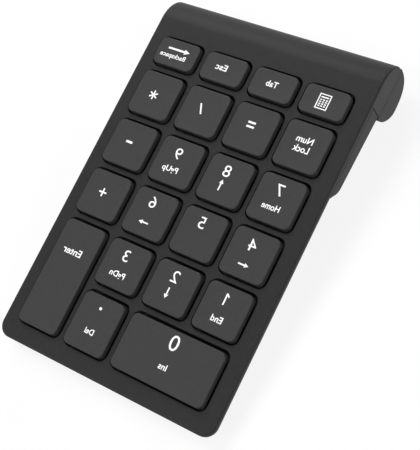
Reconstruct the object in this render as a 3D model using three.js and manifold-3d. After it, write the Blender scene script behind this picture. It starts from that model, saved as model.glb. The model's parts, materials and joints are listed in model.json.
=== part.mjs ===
// Wireless numeric keypad: 22 keys, a battery tube along the rear edge, feet underneath.
// Units are millimetres. The keypad stands on z = 0 with its battery tube towards +Y.
// Most pieces are drawn in the deck frame: u runs to the right (X), v runs to the rear, and w
// points out of the deck, whose top surface is w = 0. The deck group then leans by DECK_TILT.

import * as THREE from 'three';
import { mergeVertices } from 'three/addons/utils/BufferGeometryUtils.js';
import Module from 'manifold-3d';

const wasm = await Module();
wasm.setup();

// Case
const CASE_WIDTH = 85;
const CASE_FRONT = -65.25;
const CASE_REAR = 66.4;
const FRONT_CORNER_RADIUS = 4.5;
const REAR_CORNER_RADIUS = 1.2;
const DECK_TILT = THREE.MathUtils.degToRad(6.7);
const DECK_THICKNESS = 1.6;
const RIM_BOTTOM = -1.9;
const RIM_WALL = 1.5;
const TUBE_WALL = 1.15;
const PAN_INSET = 3.3;
const PAN_WALL = 1.2;
const FLOOR_TOP = -5.3;
const PAN_BOTTOM = -6.5;
const SEAM = 0.15;

// Battery tube: a rounded section about (TUBE_V, TUBE_W). Each quarter has its own reach and
// exponent: an exponent of 2 is an ellipse, a larger one is squarer.
const TUBE_V = 55.9;
const TUBE_W = -9.3;
const TUBE_REAR = CASE_REAR - TUBE_V;
const TUBE_FRONT = 8.15;
const TUBE_RISE = -TUBE_W;
const TUBE_DROP = 10.6;
const REAR_TOP_EXPONENT = 1.92;
const REAR_LOW_EXPONENT = 2.8;
const FRONT_TOP_EXPONENT = 1.9;
const FRONT_LOW_EXPONENT = 1.65;
const TUBE_STEPS = 12;

// Full-width belly between the pan and the tube
const BELLY_FRONT = 16.6;
const BELLY_REAR = 48.3;
const BELLY_SLOPE = 0.077;
const BELLY_SLOPE_START = 22.5;

// Keys
const COLUMN_SIDE = 1;             // +1 puts the Enter column at -X, -1 puts it at +X
const PITCH = 19;
const FIELD_U = -0.4;
const CAP_TOP = 15.7;
const CAP_SKIRT = 15.9;
const CAP_HALF_ROW = 9.8;
const CAP_FRONT_ROW = 18.4;
const CAP_RADIUS = 2.0;
const CAP_WALL = 1.2;
const CAP_HEIGHT = 1.6;
const CAP_CHAMFER = 0.3;
const CAP_CEILING = 0.8;
const SKIRT_BOTTOM = -0.7;
const OPENING_GAP = 0.7;
const KEY_TRAVEL = 2.0;
const ROW_V = [44.4, 28.4, 9.4, -9.6, -28.6, -49.05];
const CAP_FORWARD = 0.2;             // the caps sit this far in front of their openings' centres

// Key mechanism, from the top down
const STEM_WIDTH = 7.0;
const STEM_DEPTH_HALF_ROW = 4.4;
const STEM_BOTTOM = -1.8;
const CHIMNEY_TOP = -1.5;
const CHIMNEY_WALL = 0.8;
const STEM_GAP = 0.2;
const GUIDE_TOP = -3.0;
const GUIDE_BOTTOM = -3.8;
const DOME_TOP = -1.9;
const SHEET_TOP = -3.95;
const SHEET_BOTTOM = -4.25;
const DOME_RADIUS = 3.2;
const DOME_RADIUS_HALF_ROW = 2.1;
const DOME_SIDES = 6;
const MEMBRANE_TOP = -4.35;
const MEMBRANE_BOTTOM = -4.6;
const STEEL_TOP = -4.7;
const STEEL_BOTTOM = -5.15;
const STACK_HALF_WIDTH = 37.7;
const STACK_FRONT = -60.4;
const STACK_REAR = 47.9;
const BOSS_RADIUS = 1.9;
const BOSS_HOLE_RADIUS = 2.3;
const BOSS_BOTTOM = -5.2;
const PILOT_RADIUS = 0.9;
const SCREW_RADIUS = 0.75;
const SCREW_HEAD_RADIUS = 1.9;

// Stabilizer bars of the two long keys
const BAR_RADIUS = 0.4;
const BAR_ARM = 7.0;
const BAR_OFFSET = 5.2;
const BAR_AXIS_W = -2.45;
const BAR_TIP_RISE = KEY_TRAVEL / 2;
const BAR_HOOK = 1.6;

// Battery and electronics in the tube
const CELL_RADIUS = 7.2;
const CELL_V = 56.5;
const CELL_START = -35.0;
const CELL_LENGTH = 50.5;
const DOOR_END = 17.5;
const TONGUE_REACH = 2.4;
const TONGUE_FRONT = 54;
const TONGUE_REAR = 58;
const TONGUE_TOP = -17.2;
const TONGUE_LOW = -18.0;
const BOARD_TOP = -12.0;
const BOARD_BOTTOM = -13.0;
const SWITCH_U = 24.6;
const SWITCH_V = 56;
const SWITCH_TRAVEL = 3;
const SWITCH_BOTTOM = -16.3;
const KNOB_LOW = -19.6;

// Feet
const FRONT_FOOT_V = -54.5;
const FRONT_CONTACT_V = -58;
const FRONT_FOOT_HEIGHT = 0.9;
const FOOT_U = 34.4;
const FOOT_LENGTH = 11.5;
const FOOT_WIDTH = 6;
const REAR_FOOT_GAP = 0.3;

const half = CASE_WIDTH / 2;

// ---------------------------------------------------------------- solids

function solidOf(geometry) {
  const bare = geometry.index ? geometry.toNonIndexed() : geometry.clone();
  bare.deleteAttribute('normal');
  bare.deleteAttribute('uv');
  const merged = mergeVertices(bare, 1e-4);
  const vertProperties = new Float32Array(merged.attributes.position.array);
  const triVerts = new Uint32Array(merged.index.array);
  return new wasm.Manifold(new wasm.Mesh({ numProp: 3, vertProperties, triVerts }));
}

function geometryOf(solid) {
  const mesh = solid.getMesh();
  const geometry = new THREE.BufferGeometry();
  geometry.setAttribute('position', new THREE.BufferAttribute(new Float32Array(mesh.vertProperties), 3));
  geometry.setIndex(new THREE.BufferAttribute(new Uint32Array(mesh.triVerts), 1));
  geometry.computeVertexNormals();
  return geometry;
}

function joined(solids) {
  return solids.reduce((sum, solid) => sum.add(solid));
}

function cutBy(solid, cutters) {
  return cutters.reduce((rest, cutter) => rest.subtract(cutter), solid);
}

function block(u0, u1, v0, v1, w0, w1) {
  const geometry = new THREE.BoxGeometry(u1 - u0, v1 - v0, w1 - w0);
  geometry.translate((u0 + u1) / 2, (v0 + v1) / 2, (w0 + w1) / 2);
  return solidOf(geometry);
}

function post(u, v, radius, w0, w1, sides = 12) {
  const geometry = new THREE.CylinderGeometry(radius, radius, w1 - w0, sides);
  geometry.rotateX(Math.PI / 2);
  geometry.translate(u, v, (w0 + w1) / 2);
  return solidOf(geometry);
}

function rod(from, to, radius, sides = 6) {
  const along = new THREE.Vector3().subVectors(to, from);
  const geometry = new THREE.CylinderGeometry(radius, radius, along.length(), sides);
  const turn = new THREE.Quaternion();
  turn.setFromUnitVectors(new THREE.Vector3(0, 1, 0), along.clone().normalize());
  geometry.applyQuaternion(turn);
  geometry.translate((from.x + to.x) / 2, (from.y + to.y) / 2, (from.z + to.z) / 2);
  return solidOf(geometry);
}

// A rectangle in plan with a radius at its front corners and another at its rear corners
function roundedRectangle(u0, u1, v0, v1, frontRadius, rearRadius = frontRadius) {
  const quarter = Math.PI / 2;
  const shape = new THREE.Shape();
  shape.absarc(u1 - frontRadius, v0 + frontRadius, frontRadius, -quarter, 0);
  shape.absarc(u1 - rearRadius, v1 - rearRadius, rearRadius, 0, quarter);
  shape.absarc(u0 + rearRadius, v1 - rearRadius, rearRadius, quarter, 2 * quarter);
  shape.absarc(u0 + frontRadius, v0 + frontRadius, frontRadius, 2 * quarter, 3 * quarter);
  shape.closePath();
  return shape;
}

function planPrism(shape, w0, w1, cornerSteps = 3) {
  const options = { depth: w1 - w0, bevelEnabled: false, curveSegments: cornerSteps };
  const geometry = new THREE.ExtrudeGeometry(shape, options);
  geometry.translate(0, 0, w0);
  return solidOf(geometry);
}

// A section drawn in (v, w) and drawn out along u
function sectionPrism(points, u0, u1) {
  const options = { depth: u1 - u0, bevelEnabled: false };
  const geometry = new THREE.ExtrudeGeometry(new THREE.Shape(points), options);
  const axes = new THREE.Matrix4();
  axes.makeBasis(new THREE.Vector3(0, 1, 0), new THREE.Vector3(0, 0, 1), new THREE.Vector3(1, 0, 0));
  geometry.applyMatrix4(axes);
  geometry.translate(u0, 0, 0);
  return solidOf(geometry);
}

// Points of the tube's section, inset from its outer surface, from one angle to another.
// Angle 0 is the rear, a quarter turn is the crest.
function tubeArc(inset, start, end, steps) {
  const points = [];
  for (let i = 0; i <= steps; i += 1) {
    const angle = start + ((end - start) * i) / steps;
    const c = Math.cos(angle);
    const s = Math.sin(angle);
    const reach = (c >= 0 ? TUBE_REAR : TUBE_FRONT) - inset;
    const height = (s >= 0 ? TUBE_RISE : TUBE_DROP) - inset;
    const top = c >= 0 ? REAR_TOP_EXPONENT : FRONT_TOP_EXPONENT;
    const low = c >= 0 ? REAR_LOW_EXPONENT : FRONT_LOW_EXPONENT;
    const power = 2 / (s >= 0 ? top : low);
    const v = TUBE_V + Math.sign(c) * reach * Math.abs(c) ** power;
    const w = TUBE_W + Math.sign(s) * height * Math.abs(s) ** power;
    points.push(new THREE.Vector2(v, w));
  }
  return points;
}

function wholeTube(inset, u0, u1) {
  const points = [];
  for (let quarter = 0; quarter < 4; quarter += 1) {
    const start = (quarter * Math.PI) / 2;
    points.push(...tubeArc(inset, start, start + Math.PI / 2, TUBE_STEPS).slice(0, -1));
  }
  return sectionPrism(points, u0, u1);
}

// ---------------------------------------------------------------- keys

const KEY_ROWS = [
  ['key_backspace', 'key_escape', 'key_tab', 'key_calculator'],
  ['key_multiply', 'key_divide', 'key_equals', 'key_num_lock'],
  ['key_minus', 'key_9', 'key_8', 'key_7'],
  ['key_plus', 'key_6', 'key_5', 'key_4'],
  [null, 'key_3', 'key_2', 'key_1'],
  [null, 'key_decimal', null, null],
];
const ROW_DEPTH = [CAP_HALF_ROW, CAP_TOP, CAP_TOP, CAP_TOP, CAP_TOP, CAP_FRONT_ROW];
const ROW_HALF = ROW_DEPTH.map((depth) => depth / 2);

function columnU(column) {
  return COLUMN_SIDE * (FIELD_U + (column - 1.5) * PITCH);
}

// Every key: its name, centre, size of its top, stem depth, dome radius and long side
function listKeys() {
  const keys = [];
  KEY_ROWS.forEach((names, rowIndex) => {
    names.forEach((name, column) => {
      if (name === null) return;
      keys.push({
        name,
        u: columnU(column),
        v: ROW_V[rowIndex] - CAP_FORWARD,
        width: CAP_TOP,
        depth: ROW_DEPTH[rowIndex],
        stemDepth: rowIndex === 0 ? STEM_DEPTH_HALF_ROW : STEM_WIDTH,
        domeRadius: rowIndex === 0 ? DOME_RADIUS_HALF_ROW : DOME_RADIUS,
      });
    });
  });
  const enterRear = ROW_V[4] - CAP_FORWARD + ROW_HALF[4];
  const enterFront = ROW_V[5] - CAP_FORWARD - ROW_HALF[5];
  const common = { stemDepth: STEM_WIDTH, domeRadius: DOME_RADIUS };
  keys.push({
    ...common,
    name: 'key_enter',
    u: columnU(0),
    v: (enterRear + enterFront) / 2,
    width: CAP_TOP,
    depth: enterRear - enterFront,
    long: 'v',
  });
  keys.push({
    ...common,
    name: 'key_0',
    u: (columnU(2) + columnU(3)) / 2,
    v: ROW_V[5] - CAP_FORWARD,
    width: PITCH + CAP_TOP,
    depth: CAP_FRONT_ROW,
    long: 'u',
  });
  return keys;
}

const keys = listKeys();
const longKeys = keys.filter((key) => key.long);

function keyOutline(key, grow, radius) {
  const a = key.width / 2 + grow;
  const b = key.depth / 2 + grow;
  return roundedRectangle(key.u - a, key.u + a, key.v - b, key.v + b, radius);
}

// A closed body through rounded outlines of one point count, from the bottom up
function loft(rings) {
  const outlines = rings.map((ring) => ring.outline.getPoints(2).slice(0, -1));
  const count = outlines[0].length;
  const positions = [];
  outlines.forEach((outline, level) => {
    outline.forEach((point) => positions.push(point.x, point.y, rings[level].w));
  });
  const index = [];
  for (let level = 0; level + 1 < rings.length; level += 1) {
    for (let i = 0; i < count; i += 1) {
      const a = level * count + i;
      const b = level * count + ((i + 1) % count);
      index.push(a, b, b + count);
      index.push(a, b + count, a + count);
    }
  }
  const top = (rings.length - 1) * count;
  for (let i = 1; i + 1 < count; i += 1) {
    index.push(0, i + 1, i);
    index.push(top, top + i, top + i + 1);
  }
  const geometry = new THREE.BufferGeometry();
  geometry.setAttribute('position', new THREE.Float32BufferAttribute(positions, 3));
  geometry.setIndex(index);
  return solidOf(geometry);
}

// The two ends of a long key's stabilizer bar, as offsets from the key's centre
function barEnds(key) {
  const reach = (key.long === 'u' ? key.width : key.depth) / 2 - 3.2;
  return [-reach, reach];
}

// A point of the bar: along the key's long side, across it, and at height w
function barPoint(key, along, across, w) {
  if (key.long === 'u') return new THREE.Vector3(key.u + along, key.v + across, w);
  return new THREE.Vector3(key.u + across, key.v + along, w);
}

function keycap(key) {
  const skirtGrow = (CAP_SKIRT - CAP_TOP) / 2;
  const outer = loft([
    { outline: keyOutline(key, skirtGrow, CAP_RADIUS), w: SKIRT_BOTTOM },
    { outline: keyOutline(key, 0, CAP_RADIUS), w: CAP_HEIGHT - CAP_CHAMFER },
    { outline: keyOutline(key, -CAP_CHAMFER, CAP_RADIUS - CAP_CHAMFER), w: CAP_HEIGHT },
  ]);
  const inner = loft([
    { outline: keyOutline(key, -CAP_WALL, CAP_RADIUS - 1), w: SKIRT_BOTTOM - 1 },
    { outline: keyOutline(key, -CAP_WALL, CAP_RADIUS - 1), w: CAP_CEILING },
  ]);
  const stem = block(
    key.u - STEM_WIDTH / 2,
    key.u + STEM_WIDTH / 2,
    key.v - key.stemDepth / 2,
    key.v + key.stemDepth / 2,
    STEM_BOTTOM,
    CAP_CEILING + 0.2,
  );
  const parts = [outer.subtract(inner), stem];
  if (key.long) {
    const lugBottom = BAR_AXIS_W + BAR_TIP_RISE + BAR_RADIUS + SEAM;
    barEnds(key).forEach((end) => {
      const tip = barPoint(key, end - Math.sign(end), BAR_OFFSET - BAR_ARM, lugBottom);
      parts.push(block(tip.x - 0.8, tip.x + 0.8, tip.y - 0.8, tip.y + 0.8, lugBottom, CAP_CEILING + 0.2));
    });
  }
  return joined(parts);
}

// ---------------------------------------------------------------- case

// The middle of the rib in front of a row of keys
function ribV(row) {
  return (ROW_V[row] - ROW_HALF[row] + ROW_V[row + 1] + ROW_HALF[row + 1]) / 2;
}

const SCREW_PLACES = [
  [columnU(0.5), ribV(0)],
  [columnU(2.5), ribV(0)],
  [columnU(1.5), ribV(1)],
  [columnU(0.5), ribV(3)],
  [columnU(2.5), ribV(3)],
  [columnU(1.5), ribV(4)],
];

function topCover() {
  const plan = roundedRectangle(-half, half, CASE_FRONT, CASE_REAR, FRONT_CORNER_RADIUS, REAR_CORNER_RADIUS);
  const parting = TUBE_W + 0.05;
  const section = [
    new THREE.Vector2(CASE_FRONT - 1, RIM_BOTTOM),
    new THREE.Vector2(BELLY_REAR + 2 * SEAM, RIM_BOTTOM),
    new THREE.Vector2(BELLY_REAR + 2 * SEAM, parting),
    ...tubeArc(0, 0.01, Math.PI / 2, TUBE_STEPS),
    new THREE.Vector2(CASE_FRONT - 1, 0),
  ];
  const outer = planPrism(plan, parting, 1, 4).intersect(sectionPrism(section, -half, half));
  const innerPlan = roundedRectangle(
    -half + RIM_WALL,
    half - RIM_WALL,
    CASE_FRONT + RIM_WALL,
    TUBE_V,
    FRONT_CORNER_RADIUS - RIM_WALL,
    0.5,
  );
  const endWall = half - TUBE_WALL;
  const hollow = [
    planPrism(innerPlan, -3, -DECK_THICKNESS).subtract(block(-half, half, 48, 60, -4, 0)),
    block(-endWall, endWall, 40, TUBE_V, parting - 1, -DECK_THICKNESS),
    wholeTube(TUBE_WALL, -endWall, endWall),
  ];
  const openings = keys.map((key) => {
    const grow = OPENING_GAP + (CAP_SKIRT - CAP_TOP) / 2;
    const opening = { ...key, v: key.v + CAP_FORWARD };
    return planPrism(keyOutline(opening, grow, CAP_RADIUS + OPENING_GAP), -3, 1);
  });
  const bosses = SCREW_PLACES.map(([u, v]) => post(u, v, BOSS_RADIUS, BOSS_BOTTOM, -DECK_THICKNESS + 0.3));
  const pilots = SCREW_PLACES.map(([u, v]) => post(u, v, PILOT_RADIUS, BOSS_BOTTOM - 1, -1.9, 8));
  return cutBy(joined([cutBy(outer, [...hollow, ...openings]), ...bosses]), pilots);
}

// Height of the belly's underside at v
function bellyBottom(v) {
  return PAN_BOTTOM - Math.max(0, v - BELLY_SLOPE_START) * BELLY_SLOPE;
}

// A plate across the tube that holds one of the battery contacts
function cradleRib(u0, u1) {
  const plate = wholeTube(TUBE_WALL + 0.4, u0, u1);
  const root = wholeTube(0.5, u0, u1).intersect(block(u0, u1, 40, 51.5, TUBE_W, -2));
  const below = block(u0 - 1, u1 + 1, 40, 70, -15.5, -2.2);
  return joined([plate.intersect(below), root]);
}

function bottomCover() {
  const underRim = RIM_BOTTOM - SEAM;
  const underDeck = -DECK_THICKNESS - SEAM;
  const step = new THREE.Shape();
  step.moveTo(BELLY_FRONT, underRim);
  step.lineTo(BELLY_FRONT + 1.2, -3.4);
  step.quadraticCurveTo(BELLY_FRONT + 3.2, PAN_BOTTOM, BELLY_SLOPE_START, PAN_BOTTOM);
  const bellySection = [
    ...step.getPoints(4),
    new THREE.Vector2(BELLY_REAR, bellyBottom(BELLY_REAR)),
    new THREE.Vector2(BELLY_REAR, underRim),
  ];
  const panHalf = half - PAN_INSET;
  const panFront = CASE_FRONT + PAN_INSET;
  const panPlan = roundedRectangle(-panHalf, panHalf, panFront, 30, 3, 0.5);
  const shell = joined([
    sectionPrism(bellySection, -half, half),
    planPrism(panPlan, PAN_BOTTOM, underDeck),
  ]);
  const innerHalf = panHalf - PAN_WALL;
  const panHollow = planPrism(
    roundedRectangle(-innerHalf, innerHalf, panFront + PAN_WALL, BELLY_REAR + 5, 2, 0.5),
    FLOOR_TOP,
    1,
  );
  const deep = BELLY_SLOPE_START + 2;
  const bellyHollowSection = [
    new THREE.Vector2(deep, bellyBottom(deep) + PAN_WALL),
    new THREE.Vector2(BELLY_REAR + 5, bellyBottom(BELLY_REAR + 5) + PAN_WALL),
    new THREE.Vector2(BELLY_REAR + 5, 1),
    new THREE.Vector2(deep, 1),
  ];
  const bellyHollow = sectionPrism(bellyHollowSection, -half + PAN_WALL, half - PAN_WALL);
  const tray = cutBy(shell, [panHollow, bellyHollow]);

  const ribSection = [
    new THREE.Vector2(deep - 1, bellyBottom(deep - 1) + 0.4),
    new THREE.Vector2(BELLY_REAR - 0.4, bellyBottom(BELLY_REAR) + 0.4),
    new THREE.Vector2(BELLY_REAR - 0.4, FLOOR_TOP),
    new THREE.Vector2(deep - 1, FLOOR_TOP),
  ];
  const ribs = [-31, 0, 31].map((u) => sectionPrism(ribSection, u - 0.6, u + 0.6));
  const rearPosts = SCREW_PLACES.filter((place) => place[1] > 30);
  const posts = rearPosts.map(([u, v]) => post(u, v, 2.8, bellyBottom(v) + 0.4, FLOOR_TOP));

  const inEnd = half - TUBE_WALL - SEAM;
  const ring = wholeTube(0, -half, half).subtract(wholeTube(TUBE_WALL, -half - 1, half - TUBE_WALL));
  const partition = ring.intersect(block(-inEnd, inEnd, 40, 51.6, TUBE_W, underDeck));
  const fixedHalf = ring.intersect(block(DOOR_END + 0.3, half, 40, 70, -30, TUBE_W - SEAM));
  const bridge = ring.intersect(block(DOOR_END + 0.3, inEnd, 40, 52, TUBE_W - 1, TUBE_W + 1));
  const contactRibs = [cradleRib(-40.9, -39.9), cradleRib(16.1, 17.1)];
  const body = joined([tray, ...ribs, ...posts, partition, fixedHalf, bridge, ...contactRibs]);

  const screwCuts = SCREW_PLACES.flatMap(([u, v]) => {
    const low = bellyBottom(v);
    return [post(u, v, 1.0, low - 1, FLOOR_TOP + 1, 8), post(u, v, 2.2, low - 1, screwSeat(v), 12)];
  });
  const tailSlot = block(23.4, 34.6, 46, 53, -5.6, 0);
  const knobSlot = block(SWITCH_U - 3.2, SWITCH_U + 3.2, SWITCH_V - 1.3, SWITCH_V + 1.3, -30, -16);
  return cutBy(body, [...screwCuts, tailSlot, knobSlot]);
}

// The level where a screw's head rests in its counterbore
function screwSeat(v) {
  return v > 30 ? bellyBottom(v) + 1.3 : PAN_BOTTOM + 0.65;
}

function batteryDoor() {
  const outer = wholeTube(0, -half, DOOR_END);
  const inner = wholeTube(TUBE_WALL, -half + TUBE_WALL, DOOR_END + 1);
  const lower = block(-half - 1, DOOR_END + 1, 40, 70, -30, TUBE_W - SEAM);
  const overlap = DOOR_END + TONGUE_REACH;
  const tongue = block(DOOR_END - 3, overlap, TONGUE_FRONT, TONGUE_REAR, TONGUE_LOW, TONGUE_TOP);
  const rootLow = TUBE_W - TUBE_DROP + TUBE_WALL - 0.3;
  const tongueRoot = block(DOOR_END - 3, DOOR_END, TONGUE_FRONT, TONGUE_REAR, rootLow, TONGUE_TOP);
  return joined([outer.subtract(inner).intersect(lower), tongue, tongueRoot]);
}

// ---------------------------------------------------------------- key mechanism

function stackPlan() {
  return roundedRectangle(-STACK_HALF_WIDTH, STACK_HALF_WIDTH, STACK_FRONT, STACK_REAR, 1.5);
}

function bossHoles(w0, w1) {
  return SCREW_PLACES.map(([u, v]) => post(u, v, BOSS_HOLE_RADIUS, w0, w1, 10));
}

function guidePlate() {
  const plate = planPrism(stackPlan(), GUIDE_BOTTOM, GUIDE_TOP, 2);
  const chimneys = keys.map((key) => {
    const a = STEM_WIDTH / 2 + STEM_GAP + CHIMNEY_WALL;
    const b = key.stemDepth / 2 + STEM_GAP + CHIMNEY_WALL;
    return block(key.u - a, key.u + a, key.v - b, key.v + b, GUIDE_TOP - 0.2, CHIMNEY_TOP);
  });
  const passages = keys.map((key) => {
    const a = STEM_WIDTH / 2 + STEM_GAP;
    const b = key.stemDepth / 2 + STEM_GAP;
    return block(key.u - a, key.u + a, key.v - b, key.v + b, -6, 0);
  });
  const clips = [];
  const windows = [];
  longKeys.forEach((key) => {
    barEnds(key).forEach((end) => {
      const from = barPoint(key, end - 1.2, BAR_OFFSET + 1.2, 0);
      const to = barPoint(key, end + 1.2, BAR_OFFSET - BAR_ARM - 1.2, 0);
      const us = [from.x, to.x].sort((a, b) => a - b);
      const vs = [from.y, to.y].sort((a, b) => a - b);
      windows.push(block(us[0], us[1], vs[0], vs[1], -6, 0));
      const hook = barPoint(key, end - Math.sign(end) * 2, BAR_OFFSET - BAR_ARM, 0);
      windows.push(block(hook.x - 1.3, hook.x + 1.3, hook.y - 1.3, hook.y + 1.3, -6, -1.4));
    });
    [-0.55, 0.55].forEach((share) => {
      const along = share * barEnds(key)[1];
      [-0.9, 0.9].forEach((side) => {
        const place = barPoint(key, along, BAR_OFFSET + side, 0);
        const a = key.long === 'u' ? 1 : 0.3;
        const b = key.long === 'u' ? 0.3 : 1;
        clips.push(block(place.x - a, place.x + a, place.y - b, place.y + b, GUIDE_TOP - 0.2, -2.1));
      });
    });
  });
  return cutBy(joined([plate, ...chimneys, ...clips]), [...passages, ...windows, ...bossHoles(-6, 0)]);
}

function taperedPost(u, v, lowRadius, highRadius, w0, w1, sides) {
  const geometry = new THREE.CylinderGeometry(highRadius, lowRadius, w1 - w0, sides);
  geometry.rotateX(Math.PI / 2);
  geometry.translate(u, v, (w0 + w1) / 2);
  return solidOf(geometry);
}

function domeSheet() {
  const sheet = planPrism(stackPlan(), SHEET_BOTTOM, SHEET_TOP, 2);
  const domes = keys.map((key) => {
    const base = key.domeRadius;
    return taperedPost(key.u, key.v, base, base * 0.55, SHEET_TOP - 0.1, DOME_TOP, DOME_SIDES);
  });
  const hollows = keys.map((key) => {
    const base = key.domeRadius;
    return taperedPost(
      key.u,
      key.v,
      base - 0.1,
      base * 0.55 - 0.5,
      SHEET_BOTTOM - 0.5,
      DOME_TOP - 0.7,
      DOME_SIDES,
    );
  });
  return cutBy(joined([sheet, ...domes]), [...hollows, ...bossHoles(-6, 0)]);
}

function membrane() {
  const sheet = planPrism(stackPlan(), MEMBRANE_BOTTOM, MEMBRANE_TOP, 2);
  const tail = block(24, 34, STACK_REAR - 2, 51.5, MEMBRANE_BOTTOM, MEMBRANE_TOP);
  const drop = block(24, 34, 51.2, 51.5, BOARD_TOP + SEAM, MEMBRANE_TOP);
  return cutBy(joined([sheet, tail, drop]), bossHoles(-6, 0));
}

function steelPlate() {
  return cutBy(planPrism(stackPlan(), STEEL_BOTTOM, STEEL_TOP, 2), bossHoles(-6, 0));
}

function stabilizerBar(key) {
  const [start, end] = barEnds(key);
  const tipW = BAR_AXIS_W + BAR_TIP_RISE;
  const across = BAR_OFFSET - BAR_ARM;
  const points = [
    barPoint(key, start + BAR_HOOK, across, tipW),
    barPoint(key, start, across, tipW),
    barPoint(key, start, BAR_OFFSET, BAR_AXIS_W),
    barPoint(key, end, BAR_OFFSET, BAR_AXIS_W),
    barPoint(key, end, across, tipW),
    barPoint(key, end - BAR_HOOK, across, tipW),
  ];
  const pieces = [];
  for (let i = 0; i + 1 < points.length; i += 1) {
    pieces.push(rod(points[i], points[i + 1], BAR_RADIUS));
  }
  points.slice(1, -1).forEach((point) => {
    const ball = new THREE.SphereGeometry(BAR_RADIUS, 6, 4);
    ball.translate(point.x, point.y, point.z);
    pieces.push(solidOf(ball));
  });
  return joined(pieces);
}

// ---------------------------------------------------------------- battery and electronics

// An AA cell lying along u, with its raised cap towards +u
function batteryCell() {
  const profile = [
    [0, 0.4],
    [4.2, 0.4],
    [4.6, 0],
    [6.6, 0],
    [CELL_RADIUS, 0.6],
    [CELL_RADIUS, CELL_LENGTH - 1.9],
    [6.6, CELL_LENGTH - 1.3],
    [2.75, CELL_LENGTH - 1.3],
    [2.75, CELL_LENGTH - 0.2],
    [2.5, CELL_LENGTH],
    [0, CELL_LENGTH],
  ].map(([radius, along]) => new THREE.Vector2(radius, along));
  const geometry = new THREE.LatheGeometry(profile, 20);
  geometry.rotateZ(-Math.PI / 2);
  geometry.translate(CELL_START, CELL_V, TUBE_W);
  return solidOf(geometry);
}

class ConeHelix extends THREE.Curve {
  constructor(start, length, wideRadius, narrowRadius, turns) {
    super();
    Object.assign(this, { start, length, wideRadius, narrowRadius, turns });
  }

  getPoint(t, target = new THREE.Vector3()) {
    const angle = 2 * Math.PI * this.turns * t;
    const radius = THREE.MathUtils.lerp(this.wideRadius, this.narrowRadius, t);
    const along = this.start + this.length * t;
    return target.set(along, CELL_V + radius * Math.cos(angle), TUBE_W + radius * Math.sin(angle));
  }
}

function wireSection(radius, sides) {
  const points = [];
  for (let i = 0; i < sides; i += 1) {
    const angle = (2 * Math.PI * i) / sides;
    points.push(new THREE.Vector2(radius * Math.cos(angle), radius * Math.sin(angle)));
  }
  return new THREE.Shape(points);
}

function springContact() {
  const plate = block(-39.7, -39.3, CELL_V - 5, CELL_V + 5, TUBE_W - 5, TUBE_W + 4.5);
  const helix = new ConeHelix(-39.45, 3.95, 4.0, 2.4, 2.5);
  const options = { steps: 32, bevelEnabled: false, extrudePath: helix };
  const coil = solidOf(new THREE.ExtrudeGeometry(wireSection(0.35, 5), options));
  return joined([plate, coil]);
}

function plateContact() {
  return block(15.65, 15.95, CELL_V - 4.5, CELL_V + 4.5, TUBE_W - 4.5, TUBE_W + 4.5);
}

function switchBody() {
  const a = 4.4;
  const b = 1.9;
  return block(SWITCH_U - a, SWITCH_U + a, SWITCH_V - b, SWITCH_V + b, SWITCH_BOTTOM, BOARD_BOTTOM - 0.1);
}

function switchKnob() {
  const u = SWITCH_U - SWITCH_TRAVEL / 2;
  const flangeTop = SWITCH_BOTTOM - 0.1;
  const flangeLow = flangeTop - 0.5;
  const flange = block(u - 1.8, u + 1.8, SWITCH_V - 0.9, SWITCH_V + 0.9, flangeLow, flangeTop);
  const handle = block(u - 1.1, u + 1.1, SWITCH_V - 0.8, SWITCH_V + 0.8, KNOB_LOW, flangeLow + 0.3);
  return joined([flange, handle]);
}

// ---------------------------------------------------------------- feet and screws

// Deck-frame height of the standing surface at v
function standingSurface(v) {
  return PAN_BOTTOM - FRONT_FOOT_HEIGHT - (v - FRONT_CONTACT_V) * Math.tan(DECK_TILT);
}

// Everything below the standing surface
function belowSurface() {
  const geometry = new THREE.BoxGeometry(400, 400, 100);
  geometry.translate(0, 0, -50);
  geometry.rotateX(-DECK_TILT);
  geometry.translate(0, 0, standingSurface(0));
  return solidOf(geometry);
}

function footPlan(u, v) {
  const a = FOOT_LENGTH / 2;
  const b = FOOT_WIDTH / 2;
  return roundedRectangle(u - a, u + a, v - b, v + b, 2);
}

function frontFoot(u) {
  return planPrism(footPlan(u, FRONT_FOOT_V), -12, PAN_BOTTOM - 0.1).subtract(belowSurface());
}

function rearFoot(u) {
  const lowestV = TUBE_V - TUBE_DROP * Math.sin(DECK_TILT);
  const pad = planPrism(footPlan(u, lowestV), -26, -16);
  return cutBy(pad, [wholeTube(-REAR_FOOT_GAP, u - 20, u + 20), belowSurface()]);
}

function caseScrew(u, v) {
  const seat = screwSeat(v);
  const head = post(u, v, SCREW_HEAD_RADIUS, seat - 0.6, seat - 0.1, 10);
  const shank = post(u, v, SCREW_RADIUS, seat - 0.3, -2.2, 8);
  return joined([head, shank]);
}

// ---------------------------------------------------------------- assembly

const deck = new THREE.Group();
deck.rotation.x = DECK_TILT;

const looks = {
  cover: new THREE.MeshStandardMaterial({ color: 0x3a3a3a, roughness: 0.75, metalness: 0 }),
  cap: new THREE.MeshStandardMaterial({ color: 0x434343, roughness: 0.7, metalness: 0 }),
  inner: new THREE.MeshStandardMaterial({ color: 0x202020, roughness: 0.6, metalness: 0 }),
  rubber: new THREE.MeshStandardMaterial({ color: 0x1b1b1b, roughness: 0.9, metalness: 0 }),
  silicone: new THREE.MeshStandardMaterial({ color: 0xcfd2d4, roughness: 0.6, metalness: 0 }),
  film: new THREE.MeshStandardMaterial({ color: 0xb9b49a, roughness: 0.4, metalness: 0 }),
  steel: new THREE.MeshStandardMaterial({ color: 0xb4b6b8, roughness: 0.35, metalness: 1 }),
  board: new THREE.MeshStandardMaterial({ color: 0x1f5a35, roughness: 0.5, metalness: 0 }),
  cell: new THREE.MeshStandardMaterial({ color: 0x2c4f86, roughness: 0.4, metalness: 0.3 }),
};

function place(name, solid, look) {
  const mesh = new THREE.Mesh(geometryOf(solid), look.clone());
  mesh.name = name;
  deck.add(mesh);
}

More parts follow.
